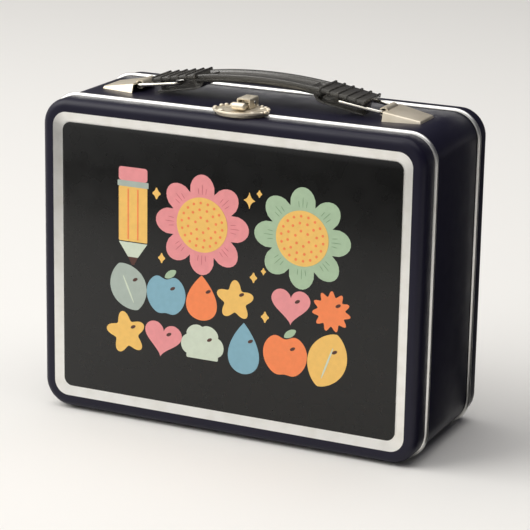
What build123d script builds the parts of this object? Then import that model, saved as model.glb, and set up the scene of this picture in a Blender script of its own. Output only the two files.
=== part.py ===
"""Metal lunch box: a stamped tin case with a hinged front lid, a snap latch and a lifting handle.

Frame: X runs left to right, -Y is the lid side, +Z is up. The origin is the middle of the footprint,
on the surface that the box stands on. Millimetres.
"""

import os
from math import cos, pi, radians, sin

from build123d import *

# ---------------------------------------------------------------- driving dimensions
CASE_W = 218.0  # outside of the tin walls, left to right
CASE_H = 171.0  # outside of the tin walls, bottom to top
CASE_D = 90.0  # front face to rear face
TIN = 0.4  # sheet thickness
CORNER_R = 14.5  # outside corner radius of the case
EDGE_R = 4.0  # rolled edge between a pan's wall and its face

BEAD_R = 1.4  # half-round bead that stands proud of the walls
BEAD_FLAT = 0.4  # worn flat along the crest
BEAD_Y = 31.0  # both beads, this far from the middle plane
SEAM_GAP = 0.2  # lid bead to body band

FRAME_W = 6.9  # flat rim from the wall to the top of the recess slope
SLOPE_W = 5.0  # width of the bare slope into the recess
RECESS = 1.2  # depth of the recessed panel
SLOPE_OUT_R = 8.0
SLOPE_IN_R = 5.0
ART_T = 0.4  # printed front plate
ART_GAP = 0.2

NECK_REACH = 6.0  # neck strip stands this far into the lid
NECK_ROOT = 7.0  # and is welded over this much of the body band
NECK_GAP = 0.5
NECK_LOW_CUT = 20.0  # the neck strip has no bottom run

HINGE_X = 58.0
HINGE_HALF = 18.0  # half the length of one hinge
KNUCKLE_HALF = 6.0  # the middle knuckle belongs to the lid
KNUCKLE_GAP = 0.25
HINGE_NOTCH = 1.2  # room past each end of a hinge for the pin's heads
HINGE_RIVET_X = (-12.0, 12.0)  # from the hinge's middle
LID_RIVET_Y = -37.2
BODY_RIVET_Y = -20.5
HINGE_PIN_R = 0.6
HINGE_BORE_R = 0.65
HINGE_HEAD_R = 1.1  # upset ends of the pin
HINGE_HEAD_W = 0.6
LID_LEAF_Y = (-40.5, -34.0)  # flat part of the lid's leaf, behind the pan's rolled edge
LEAF_T = 0.6
LEAF_DEPTH = 12.0

BRACKET_IN_X = 72.0  # inner end of a handle bracket
BRACKET_OUT_X = 92.0
BRACKET_IN_HALF = 13.5
BRACKET_OUT_HALF = 9.5
BRACKET_H = 4.8  # at the pivot; the top falls outwards
BRACKET_FALL = 10.0  # slope of the bracket's top, degrees
BRACKET_DRAFT = 2.0
BRACKET_T = 0.8
TAB_W = 5.0
TAB_X = (76.0, 86.0)
TAB_INSET = 1.1  # tab centre, in from the edge of the foot
TAB_T = 0.8
TAB_CLINCH = 3.2  # how far a tab is bent inwards under the case top
TAB_CLEARANCE = 0.1

BAIL_X = 70.5  # pivot of the wire bails
BAIL_RISE = 3.8  # pivot height above the case top
BAIL_REACH = 24.3  # pivot to the wire's tip, along X, with the handle down
TIP_RISE = 7.2  # tip height above the case top, with the handle down
WIRE_R = 1.0
BAIL_BORE_R = 1.08
BAIL_KNUCKLE_R = 2.5
BAIL_KNUCKLE_HALF = 7.0
BAIL_LEG_Y = 9.6
BAIL_TIP_Y = 4.6
BAIL_BEND_R = 2.0

GRIP_HALF = 35.0  # half-length of the arched middle
GRIP_SLOPE = 8.0  # the ends slope down by this many degrees
GRIP_W = 18.0
GRIP_T = 4.4
GRIP_RIDGE = 2.6
GRIP_DISH = 1.5
GRIP_DISH_SLANT = 1.2  # width of the slant from a ridge down into the dish
END_W = 21.0
END_IN = -11.5  # local to the wire's tip: inner and outer ends of an end block
END_OUT = 15.0
CAP_W = (2.3, 4.6)  # heights, square to the end's slope, of the cap, the web and the lower lip
WEB_W = (-3.2, 2.3)
LIP_W = (-4.4, -3.0)
WEB_HALF = 6.0
LIP_HALF = 8.1
SLOT_U = (-1.4, 9.4)  # the wire's tips slide along this slot
SLOT_W = (-1.25, 1.8)
RIB_COUNT = 6
RIB_W = 1.5
RIB_H = 0.9

LATCH_X = 1.5  # the latch sits a little right of the middle
LATCH_Y = -31.0  # centre of the oval latch plates
OVAL_X = 15.6
OVAL_Y = 13.0
PLATE_LOW = BEAD_R + 0.05  # plates pass over the bead
PLATE_T = 0.75
HOUSING_W = 7.6
HOUSING_T = 0.8
HOUSING_Y = (-29.0, -18.6)
HOUSING_H = 5.3
HOUSING_EDGE_R = 0.9
HOUSING_HOLE_R = 0.7
LEVER_W = 5.4
LEVER_Y = -24.0  # lever pivot
LEVER_RISE = 4.8  # pivot height above the case top
LEVER_REACH = 10.5
NOSE_R = 2.0
NOSE_W = 8.0
NOSE_EDGE_R = 1.3
NOSE_DROP = 0.3  # the nose's centre, below the pivot
LEVER_ARM_Z = (-1.9, -0.7)  # the arm's faces, from the pivot's height
LEVER_TAIL = 1.2
EAR_T = 1.0
EAR_R = 1.6
LATCH_PIN_R = 0.8
LATCH_BORE_R = 0.86
LATCH_HEAD_R = 1.2
LATCH_HEAD_W = 0.5
SPRING_WIRE_R = 0.3
SPRING_TURNS = 5
SPRING_SLACK = 0.15  # between the coil and the pin
KEEPER_RIVET_X = 9.0
KEEPER_RIVET_Y = -37.0
LATCH_RIVET_X = 8.5
LATCH_RIVET_Y = -24.0
KEEPER_LIP_W = 1.3
KEEPER_LIP_H = 0.8
KEEPER_LIP_BACK = 4.5  # the lip ends this far in front of the oval's middle
KEEPER_FOOT_INSET = 2.0
BASE_INSET = 0.6
BASE_FOOT_INSET = 2.6
SCALLOPS = 26
SCALLOP_R = 1.4
SCALLOP_INSET = 1.2
RIVET_R = 1.0
RIVET_HOLE_R = 1.05
RIVET_HEAD_R = 1.9
RIVET_HEAD_H = 0.8

# ---------------------------------------------------------------- derived places
LOW = BEAD_R  # underside of the bottom wall: the case stands on its beads
TOP = LOW + CASE_H
MID_Z = LOW + CASE_H / 2
FRONT = -CASE_D / 2
LID_EDGE = -BEAD_Y + BEAD_R - 0.2
BAND_FRONT = -BEAD_Y + BEAD_R + SEAM_GAP
BAIL_Z = TOP + BAIL_RISE
TIP_Z = TOP + TIP_RISE
TIP_X = BAIL_X - BAIL_REACH
LEVER_Z = TOP + LEVER_RISE
PLATE_TOP = TOP + PLATE_LOW + PLATE_T
KEEPER_RIVETS = (-KEEPER_RIVET_X, KEEPER_RIVET_X)
LATCH_RIVETS = (-LATCH_RIVET_X, LATCH_RIVET_X)


# ---------------------------------------------------------------- helpers
def rounded_outline(width, height, radius, y):
    """Rounded rectangle in a plane that faces -Y, centred on the case."""
    return Plane.XZ.offset(-y) * Pos(0, MID_Z) * RectangleRounded(width, height, radius)


def slab(inset, front, back):
    """Prism along Y with the case outline pulled in by inset (or out, when negative)."""
    outline = rounded_outline(CASE_W - 2 * inset, CASE_H - 2 * inset, CORNER_R - inset, back)
    return extrude(outline, amount=back - front)


def block(x0, x1, y0, y1, z0, z1):
    """Box between two opposite corners."""
    return Pos((x0 + x1) / 2, (y0 + y1) / 2, (z0 + z1) / 2) * Box(x1 - x0, y1 - y0, z1 - z0)


def rod_x(radius, x0, x1, y, z):
    """Cylinder along X."""
    return Pos((x0 + x1) / 2, y, z) * Rot(0, 90, 0) * Cylinder(radius, x1 - x0)


def rod_y(radius, x, y0, y1, z):
    """Cylinder along Y."""
    return Pos(x, (y0 + y1) / 2, z) * Rot(90, 0, 0) * Cylinder(radius, y1 - y0)


def rod_z(radius, x, y, z0, z1):
    """Cylinder along Z."""
    return Pos(x, y, (z0 + z1) / 2) * Cylinder(radius, z1 - z0)


def rivet(x, y, z_low, z_high):
    """Solid rivet along Z: a low dome above z_high and a flat upset head below z_low."""
    dome_r = (RIVET_HEAD_R**2 + RIVET_HEAD_H**2) / (2 * RIVET_HEAD_H)
    dome = Pos(x, y, z_high + RIVET_HEAD_H - dome_r) * Sphere(dome_r)
    dome &= rod_z(RIVET_HEAD_R, x, y, z_high, z_high + RIVET_HEAD_H)
    shank = rod_z(RIVET_R, x, y, z_low, z_high)
    return dome + shank + rod_z(RIVET_HEAD_R, x, y, z_low - RIVET_HEAD_H / 2, z_low)


def mirrored(part):
    """The same piece on the other side of the YZ plane."""
    return mirror(part, about=Plane.YZ)


def write(name, part):
    """Write one node, moving nothing: every piece is already in its place."""
    pieces = part if isinstance(part, list) else [part]
    solids = [solid for piece in pieces for solid in piece.solids()]
    export_step(solids[0] if len(solids) == 1 else Compound(children=solids), f"parts/{name}.step")


# ---------------------------------------------------------------- case
def recess_plug(shift):
    """Space of the stamped recess: a rounded rectangle that tapers as it goes in."""
    outer = rounded_outline(CASE_W - 2 * FRAME_W, CASE_H - 2 * FRAME_W, SLOPE_OUT_R, FRONT + shift)
    inset = FRAME_W + SLOPE_W
    inner = rounded_outline(CASE_W - 2 * inset, CASE_H - 2 * inset, SLOPE_IN_R, FRONT + RECESS + shift)
    return loft([outer, inner])


def rolled_slab(inset, front, back, radius):
    """Slab with its front edge rolled over."""
    body = slab(inset, front, back)
    rim = body.faces().sort_by(Axis.Y)[0].edges()
    return fillet(rim, radius)


def pan(edge):
    """Stamped pan that faces -Y: rolled edge, flat rim, slope and recessed panel."""
    outside = rolled_slab(0, FRONT, edge, EDGE_R) - recess_plug(0)
    inside = rolled_slab(TIN, FRONT + TIN, edge + 1, EDGE_R - TIN) - recess_plug(TIN)
    return outside - inside


def bead(y):
    """Half-round bead around the case."""
    ring = slab(-BEAD_R, y - BEAD_R, y + BEAD_R)
    crests = [f for f in ring.faces().filter_by(Axis.Y)]
    edges = [e for f in crests for e in f.edges()]
    return fillet(edges, BEAD_R - BEAD_FLAT / 2) - slab(0, y - 2 * BEAD_R, y + 2 * BEAD_R)


def hinge_span(x, extra, y0, y1, z0, z1):
    """Block over one hinge, a little longer than the hinge by extra at each end."""
    return block(x - HINGE_HALF - extra, x + HINGE_HALF + extra, y0, y1, z0, z1)


def lid_pan():
    part = pan(LID_EDGE)
    for x in (-HINGE_X, HINGE_X):
        part -= hinge_span(x, HINGE_NOTCH, -BEAD_Y - 2.0, LID_EDGE + 1, 0, LOW + TIN + 0.01)
        for hole in HINGE_RIVET_X:
            part -= rod_z(RIVET_HOLE_R, x + hole, LID_RIVET_Y, 0, LOW + 2)
    for x in KEEPER_RIVETS:
        part -= rod_z(RIVET_HOLE_R, LATCH_X + x, KEEPER_RIVET_Y, TOP - 2, TOP + 1)
    return part


def lid_rim_bead():
    part = bead(-BEAD_Y)
    for x in (-HINGE_X, HINGE_X):
        part -= hinge_span(x, HINGE_NOTCH, -BEAD_Y - 2, -BEAD_Y + 2, -1, LOW + 2)
    return part


def body_band():
    part = slab(0, BAND_FRONT, BEAD_Y) - slab(TIN, BAND_FRONT - 1, BEAD_Y + 1)
    for x in (-HINGE_X, HINGE_X):
        for hole in HINGE_RIVET_X:
            part -= rod_z(RIVET_HOLE_R, x + hole, BODY_RIVET_Y, 0, LOW + 2)
    for x in LATCH_RIVETS:
        part -= rod_z(RIVET_HOLE_R, LATCH_X + x, LATCH_RIVET_Y, TOP - 2, TOP + 1)
    for side in (-1, 1):
        for x in TAB_X:
            for y in (TAB_INSET - bracket_half(x), bracket_half(x) - TAB_INSET):
                part -= tab_slot(side * x, y)
    return part


def neck_strip():
    outer_root = slab(TIN, BAND_FRONT, BAND_FRONT + NECK_ROOT)
    outer_lip = slab(TIN + NECK_GAP, BAND_FRONT - NECK_REACH, BAND_FRONT)
    inner = slab(TIN + NECK_GAP + TIN, BAND_FRONT - NECK_REACH - 1, BAND_FRONT + NECK_ROOT + 1)
    part = outer_root + outer_lip - inner
    low = block(-CASE_W, CASE_W, -CASE_D, CASE_D, -1, NECK_LOW_CUT)
    half = LATCH_RIVET_X + 4
    room = block(LATCH_X - half, LATCH_X + half, LATCH_RIVET_Y - 3.5, CASE_D, TOP - 9, TOP)
    return part - low - room


def art_plate():
    inset = FRAME_W + SLOPE_W + ART_GAP
    outline = rounded_outline(CASE_W - 2 * inset, CASE_H - 2 * inset, SLOPE_IN_R - ART_GAP, FRONT + RECESS)
    return extrude(outline, amount=ART_T)


# ---------------------------------------------------------------- hinges
def knuckle(x0, x1):
    """Curl of a hinge leaf, around the pin."""
    return rod_x(BEAD_R, x0, x1, -BEAD_Y, LOW) - rod_x(HINGE_BORE_R, x0 - 1, x1 + 1, -BEAD_Y, LOW)


def hinge_leaf_body(x):
    z = LOW + TIN
    part = hinge_span(x, 0, BAND_FRONT + 2, BAND_FRONT + 2 + LEAF_DEPTH, z, z + LEAF_T)
    for x0, x1 in ((x - HINGE_HALF, x - KNUCKLE_HALF), (x + KNUCKLE_HALF, x + HINGE_HALF)):
        finger = block(x0, x1, -BEAD_Y, BAND_FRONT + 2.5, z, z + LEAF_T)
        part += finger - rod_x(HINGE_BORE_R, x0, x1, -BEAD_Y, LOW)
        part += knuckle(x0, x1)
    for hole in HINGE_RIVET_X:
        part -= rod_z(RIVET_HOLE_R, x + hole, BODY_RIVET_Y, 0, z + 2)
    return part


def hinge_leaf_lid(x):
    z = LOW + TIN
    half = KNUCKLE_HALF - KNUCKLE_GAP
    part = hinge_span(x, 0, *LID_LEAF_Y, z, z + LEAF_T)
    finger = block(x - half, x + half, LID_LEAF_Y[1] - 0.5, -BEAD_Y, z, z + LEAF_T)
    part += finger - rod_x(HINGE_BORE_R, x - half, x + half, -BEAD_Y, LOW)
    part += knuckle(x - half, x + half)
    for hole in HINGE_RIVET_X:
        part -= rod_z(RIVET_HOLE_R, x + hole, LID_RIVET_Y, 0, z + 2)
    return part


def hinge_pin(x):
    part = rod_x(HINGE_PIN_R, x - HINGE_HALF - 0.1, x + HINGE_HALF + 0.1, -BEAD_Y, LOW)
    for end in (-1, 1):
        head = sorted((x + end * (HINGE_HALF + 0.1), x + end * (HINGE_HALF + 0.1 + HINGE_HEAD_W)))
        part += rod_x(HINGE_HEAD_R, *head, -BEAD_Y, LOW)
    return part


def hinge_rivets(y):
    """Four rivets, two in each leaf, domed inside the case and flat under it."""
    z = LOW + TIN + LEAF_T
    return [rivet(x + hole, y, LOW, z) for x in (-HINGE_X, HINGE_X) for hole in HINGE_RIVET_X]


# ---------------------------------------------------------------- handle
def bracket_half(x):
    """Half-width of a bracket's foot at a distance x from the middle."""
    share = (x - BRACKET_IN_X) / (BRACKET_OUT_X - BRACKET_IN_X)
    return BRACKET_IN_HALF + share * (BRACKET_OUT_HALF - BRACKET_IN_HALF)


def bracket_outline(inset, z):
    """Plan of the bracket, wide at the pivot and narrow outside, pulled in by inset."""
    x0, x1 = BRACKET_IN_X, BRACKET_OUT_X - inset
    y0, y1 = BRACKET_IN_HALF - inset, BRACKET_OUT_HALF - inset
    return Plane.XY.offset(z) * Polygon((x0, -y0), (x1, -y1), (x1, y1), (x0, y0), align=None)


def tab_slot(x, y):
    """Slot in the case top for one bracket tab."""
    half_w, half_t = TAB_W / 2 + TAB_CLEARANCE, TAB_T / 2 + TAB_CLEARANCE
    return block(x - half_w, x + half_w, y - half_t, y + half_t, TOP - 2, TOP + 1)


def above_bracket(drop):
    """Everything above the bracket's falling top, lowered by drop."""
    reach = 2 * BRACKET_OUT_X
    room = Pos(0, 0, reach / 2) * Box(reach, reach, reach)
    return Pos(BRACKET_IN_X, 0, TOP + BRACKET_H - drop) * Rot(0, BRACKET_FALL, 0) * room


def bracket():
    """Right handle bracket: a pressed cover with a curled knuckle and four clinched tabs."""
    shell = loft([bracket_outline(0, TOP), bracket_outline(BRACKET_DRAFT, TOP + BRACKET_H + 1)])
    hollow = loft(
        [
            bracket_outline(BRACKET_T, TOP - 0.01),
            bracket_outline(BRACKET_DRAFT + BRACKET_T, TOP + BRACKET_H + 1),
        ]
    )
    hollow += Pos(-1, 0, 0) * hollow
    part = (shell - above_bracket(0)) - (hollow - above_bracket(BRACKET_T))
    neck_low = TOP + BRACKET_H - BRACKET_T
    half = BAIL_KNUCKLE_HALF
    part += block(BAIL_X, BRACKET_IN_X + 1, -half, half, neck_low - 0.2, TOP + BRACKET_H - 0.2)
    part += rod_y(BAIL_KNUCKLE_R, BAIL_X, -half, half, BAIL_Z)
    part -= rod_y(BAIL_BORE_R, BAIL_X, -half - 1, half + 1, BAIL_Z)
    for x in TAB_X:
        for side in (-1, 1):
            y = side * (bracket_half(x) - TAB_INSET)
            low = TOP - TIN - TAB_T - TAB_CLEARANCE
            part += block(x - TAB_W / 2, x + TAB_W / 2, y - TAB_T / 2, y + TAB_T / 2, low, TOP + TAB_T)
            bent = y - side * TAB_CLINCH
            lo, hi = min(y - TAB_T / 2, bent), max(y + TAB_T / 2, bent)
            part += block(x - TAB_W / 2, x + TAB_W / 2, lo, hi, low, low + TAB_T)
    return part


def bail():
    """Right wire bail: a bent wire whose crossbar turns in the bracket and whose tips enter the grip."""
    points = [
        (TIP_X, -BAIL_TIP_Y, TIP_Z),
        (TIP_X, -BAIL_LEG_Y, TIP_Z),
        (BAIL_X, -BAIL_LEG_Y, BAIL_Z),
        (BAIL_X, BAIL_LEG_Y, BAIL_Z),
        (TIP_X, BAIL_LEG_Y, TIP_Z),
        (TIP_X, BAIL_TIP_Y, TIP_Z),
    ]
    path = FilletPolyline(*points, radius=BAIL_BEND_R)
    section = Plane(origin=points[0], z_dir=(0, -1, 0)) * Circle(WIRE_R)
    return sweep(section, path=path)


def end_piece(u0, u1, y_half, w0, w1):
    """Block of the right grip end, in axes along (u) and square to (w) the sloping end."""
    local = block(u0, u1, -y_half, y_half, w0, w1)
    return Pos(TIP_X, 0, TIP_Z) * Rot(0, GRIP_SLOPE, 0) * local


def grip_end():
    """Right end of the grip: ribbed cap, web with the wire's slot, and a lower lip."""
    part = end_piece(END_IN, END_OUT, END_W / 2, *CAP_W)
    part += end_piece(END_IN + 1, END_OUT - 2.5, WEB_HALF, *WEB_W)
    part += end_piece(END_IN + 2, END_OUT - 0.8, LIP_HALF, *LIP_W)
    step = (END_OUT - END_IN - RIB_W) / (RIB_COUNT - 1)
    for n in range(RIB_COUNT):
        u = END_IN + n * step
        part += end_piece(u, u + RIB_W, END_W / 2, CAP_W[1], CAP_W[1] + RIB_H)
    return part - end_piece(*SLOT_U, END_W, *SLOT_W)


def grip_middle():
    """Arched middle: two side ridges with a shallow dish between them."""
    slope = radians(GRIP_SLOPE)
    arc_r = GRIP_HALF / sin(slope)
    end_top = TIP_Z + (TIP_X - GRIP_HALF) * sin(slope) + CAP_W[1] * cos(slope)
    crown = end_top + arc_r * (1 - cos(slope))
    half = GRIP_W / 2
    dish_half = half - GRIP_RIDGE - GRIP_DISH_SLANT
    outline = Polygon(
        (-half, crown - GRIP_T),
        (half, crown - GRIP_T),
        (half, crown),
        (half - GRIP_RIDGE, crown),
        (dish_half, crown - GRIP_DISH),
        (-dish_half, crown - GRIP_DISH),
        (-half + GRIP_RIDGE, crown),
        (-half, crown),
        align=None,
    )
    section = Plane(origin=(0, 0, 0), x_dir=(0, 1, 0), z_dir=(1, 0, 0)) * outline
    hub = Axis((0, 0, crown - arc_r), (0, 1, 0))
    swing = GRIP_SLOPE + 0.4
    return revolve(section.rotate(hub, -swing), hub, revolution_arc=2 * swing)


def grip():
    right = grip_end()
    return grip_middle() + right + mirrored(right)


# ---------------------------------------------------------------- latch
def oval(grow, z0, z1):
    """Oval prism, the plan of the latch plates grown by grow."""
    outline = Plane.XY.offset(z0) * Pos(0, LATCH_Y) * Ellipse(OVAL_X + grow, OVAL_Y + grow)
    return extrude(outline, amount=z1 - z0)


def keeper_plate():
    """Lid half of the latch: a dished plate with a smooth raised front lip."""
    low = TOP + PLATE_LOW
    part = oval(0, low, PLATE_TOP)
    lip = oval(0, low, PLATE_TOP + KEEPER_LIP_H) - oval(-KEEPER_LIP_W, low, PLATE_TOP + 2)
    wide = OVAL_X + 1
    part += lip - block(-wide, wide, LATCH_Y - KEEPER_LIP_BACK, 0, low - 1, PLATE_TOP + 3)
    part -= block(-wide, wide, BAND_FRONT - 0.35, 0, low - 1, PLATE_TOP + 3)
    foot = oval(-KEEPER_FOOT_INSET, TOP, low)
    part += foot - block(-wide, wide, -BEAD_Y - BEAD_R - 0.2, 0, TOP - 1, low)
    for x in KEEPER_RIVETS:
        part -= rod_z(RIVET_HOLE_R, x, KEEPER_RIVET_Y, TOP - 1, TOP + 5)
    return part


def latch_base():
    """Body half of the latch: the plate with a scalloped edge that carries the housing."""
    low = TOP + PLATE_LOW
    part = oval(-BASE_INSET, low, PLATE_TOP)
    ring_x, ring_y = OVAL_X - SCALLOP_INSET, OVAL_Y - SCALLOP_INSET
    for n in range(SCALLOPS):
        angle = 2 * pi * n / SCALLOPS
        part += rod_z(SCALLOP_R, ring_x * cos(angle), LATCH_Y + ring_y * sin(angle), low, PLATE_TOP)
    part += oval(-BASE_FOOT_INSET, TOP, low)
    wide = OVAL_X + 1
    part -= block(-wide, wide, -CASE_D, BAND_FRONT + 0.1, TOP - 1, PLATE_TOP + 1)
    for x in LATCH_RIVETS:
        part -= rod_z(RIVET_HOLE_R, x, LATCH_RIVET_Y, TOP - 1, TOP + 5)
    return part


def latch_housing():
    """Inverted channel that holds the lever's pin."""
    half = HOUSING_W / 2
    y0, y1 = HOUSING_Y
    outside = block(-half, half, y0, y1, PLATE_TOP, PLATE_TOP + HOUSING_H)
    top_edges = outside.edges().filter_by(Axis.Y).group_by(Axis.Z)[-1]
    outside = fillet(top_edges, HOUSING_EDGE_R)
    inner = half - HOUSING_T
    ceiling = PLATE_TOP + HOUSING_H - HOUSING_T
    part = outside - block(-inner, inner, y0 - 1, y1 - HOUSING_T, PLATE_TOP - 1, ceiling)
    part -= rod_x(LATCH_BORE_R, -half - 1, half + 1, LEVER_Y, LEVER_Z)
    return part - rod_z(HOUSING_HOLE_R, 0, LEVER_Y + 2.5, PLATE_TOP + 2, PLATE_TOP + HOUSING_H + 1)


def latch_lever():
    """Lever with two ears around its pin, an arm, a short tail and a rolled nose."""
    half = LEVER_W / 2
    nose_y = LEVER_Y - LEVER_REACH
    low, high = LEVER_ARM_Z
    arm = block(-half, half, nose_y, LEVER_Y + LEVER_TAIL, LEVER_Z + low, LEVER_Z + high)
    part = arm + rod_x(EAR_R, -half, half, LEVER_Y, LEVER_Z)
    nose = rod_x(NOSE_R, -NOSE_W / 2, NOSE_W / 2, nose_y, LEVER_Z - NOSE_DROP)
    part += fillet(nose.edges(), NOSE_EDGE_R)
    gap = half - EAR_T
    part -= block(-gap, gap, LEVER_Y - EAR_R - 0.8, LEVER_Y + LEVER_TAIL + 1, LEVER_Z - 3, LEVER_Z + 3)
    return part - rod_x(LATCH_BORE_R, -half - 1, half + 1, LEVER_Y, LEVER_Z)


def latch_pin():
    half = HOUSING_W / 2
    part = rod_x(LATCH_PIN_R, -half - 0.1, half + 0.1, LEVER_Y, LEVER_Z)
    for x0 in (half + 0.1, -half - 0.1 - LATCH_HEAD_W):
        part += rod_x(LATCH_HEAD_R, x0, x0 + LATCH_HEAD_W, LEVER_Y, LEVER_Z)
    return part


def latch_spring():
    """Torsion spring between the lever's ears: a close coil with two short legs."""
    coil_r = LATCH_PIN_R + SPRING_WIRE_R + SPRING_SLACK
    pitch = 2 * SPRING_WIRE_R + 0.02
    half_coil = (SPRING_TURNS - 1) / 2 * pitch
    coil = None
    for n in range(SPRING_TURNS):
        place = Pos(n * pitch - half_coil, LEVER_Y, LEVER_Z)
        ring = place * Rot(0, 90, 0) * Torus(coil_r, SPRING_WIRE_R + 0.02)
        coil = ring if coil is None else coil + ring
    leg_y = LEVER_Y + coil_r
    leg_low = rod_z(SPRING_WIRE_R, half_coil, leg_y, PLATE_TOP + 0.02, LEVER_Z)
    ceiling = PLATE_TOP + HOUSING_H - HOUSING_T
    leg_up = rod_z(SPRING_WIRE_R, -half_coil, leg_y, LEVER_Z, ceiling - 0.05)
    return coil + leg_low + leg_up


def latch_rivets():
    return [rivet(x, LATCH_RIVET_Y, TOP - TIN, PLATE_TOP) for x in LATCH_RIVETS]


def keeper_rivets():
    return [rivet(x, KEEPER_RIVET_Y, TOP - TIN, PLATE_TOP) for x in KEEPER_RIVETS]


# ---------------------------------------------------------------- write the nodes
def main():
    os.makedirs("parts", exist_ok=True)
    right_bracket = bracket()
    right_bail = bail()
    latch_place = Pos(LATCH_X, 0, 0)
    nodes = {
        "body_band": body_band(),
        "rear_pan": mirror(pan(-BEAD_Y), about=Plane.XZ),
        "rear_seam_bead": bead(BEAD_Y),
        "neck_strip": neck_strip(),
        "lid_pan": lid_pan(),
        "lid_rim_bead": lid_rim_bead(),
        "front_plate": art_plate(),
        "hinge_leaf_body_left": hinge_leaf_body(-HINGE_X),
        "hinge_leaf_body_right": hinge_leaf_body(HINGE_X),
        "hinge_leaf_lid_left": hinge_leaf_lid(-HINGE_X),
        "hinge_leaf_lid_right": hinge_leaf_lid(HINGE_X),
        "hinge_pin_left": hinge_pin(-HINGE_X),
        "hinge_pin_right": hinge_pin(HINGE_X),
        "hinge_rivets_body": hinge_rivets(BODY_RIVET_Y),
        "hinge_rivets_lid": hinge_rivets(LID_RIVET_Y),
        "handle_bracket_left": mirrored(right_bracket),
        "handle_bracket_right": right_bracket,
        "bail_left": mirrored(right_bail),
        "bail_right": right_bail,
        "grip": grip(),
        "keeper_plate": latch_place * keeper_plate(),
        "keeper_rivets": [latch_place * part for part in keeper_rivets()],
        "latch_base": latch_place * latch_base(),
        "latch_housing": latch_place * latch_housing(),
        "latch_lever": latch_place * latch_lever(),
        "latch_pin": latch_place * latch_pin(),
        "latch_spring": latch_place * latch_spring(),
        "latch_rivets": [latch_place * part for part in latch_rivets()],
    }
    for name, part in nodes.items():
        write(name, part)


main()
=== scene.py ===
"""Metal lunch box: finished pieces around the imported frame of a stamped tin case.

Everything is in metres, in the part's own frame: X runs left to right, -Y is the lid side, +Z is up.
Places come from the boxes of the frame's nodes. Sizes that the frame doesn't hold are fields of the
classes below, one class for each sub-assembly.
"""

import logging
from dataclasses import dataclass, field
from enum import Enum
from math import asin, cos, exp, pi, radians, sin, sqrt, tan
from typing import Callable, Iterable, Sequence

import bmesh
import bpy
from mathutils import Matrix, Vector


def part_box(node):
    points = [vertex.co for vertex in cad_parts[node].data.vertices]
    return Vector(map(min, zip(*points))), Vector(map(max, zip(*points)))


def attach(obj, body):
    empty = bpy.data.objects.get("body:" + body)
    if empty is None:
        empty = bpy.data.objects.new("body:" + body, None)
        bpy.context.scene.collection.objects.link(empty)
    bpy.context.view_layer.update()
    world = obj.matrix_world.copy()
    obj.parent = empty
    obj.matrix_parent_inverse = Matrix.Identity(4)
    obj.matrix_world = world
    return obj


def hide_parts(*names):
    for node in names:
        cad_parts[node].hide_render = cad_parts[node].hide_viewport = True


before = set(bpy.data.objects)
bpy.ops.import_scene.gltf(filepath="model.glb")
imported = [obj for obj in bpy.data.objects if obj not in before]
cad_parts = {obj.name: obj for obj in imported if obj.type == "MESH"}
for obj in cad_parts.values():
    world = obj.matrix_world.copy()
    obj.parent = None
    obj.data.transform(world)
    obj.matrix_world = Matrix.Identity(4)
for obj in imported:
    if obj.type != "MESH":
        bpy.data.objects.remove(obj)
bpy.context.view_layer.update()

MM = 0.001
LOG = logging.getLogger("lunch_box")

Colour = tuple[float, float, float, float]
Point = Sequence[float]
Socket, Material = bpy.types.NodeSocket, bpy.types.Material
Mesh, Object = bpy.types.Mesh, bpy.types.Object
Vert, Edge, Face = bmesh.types.BMVert, bmesh.types.BMEdge, bmesh.types.BMFace

EVEN = (1.0, 1.0, 1.0)  # a pattern that isn't stretched
NOISE_LOW, NOISE_HIGH = 0.3, 0.7  # between these lies nearly all of a noise
MERGE = 1e-7  # vertices nearer than this are one, in metres
FLAT, SHARP = 2.0, 40.0  # degrees: faces under the first become one, edges over the second get rounded
UPRIGHT = Matrix.Rotation(pi / 2, 4, "X")
MIRROR = Matrix.Diagonal((-1, 1, 1, 1))
SINK = 0.01 * MM  # how far a print's back lies inside the plate


def paint(red: int, green: int, blue: int) -> Colour:
    """A colour from its 0 to 255 screen values.

    Args:
        red: screen red.
        green: screen green.
        blue: screen blue.

    Returns:
        The linear colour that shader sockets take.
    """
    shares = [value / 255 for value in (red, green, blue)]
    linear = [s / 12.92 if s <= 0.04045 else ((s + 0.055) / 1.055) ** 2.4 for s in shares]
    return (linear[0], linear[1], linear[2], 1.0)


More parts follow.
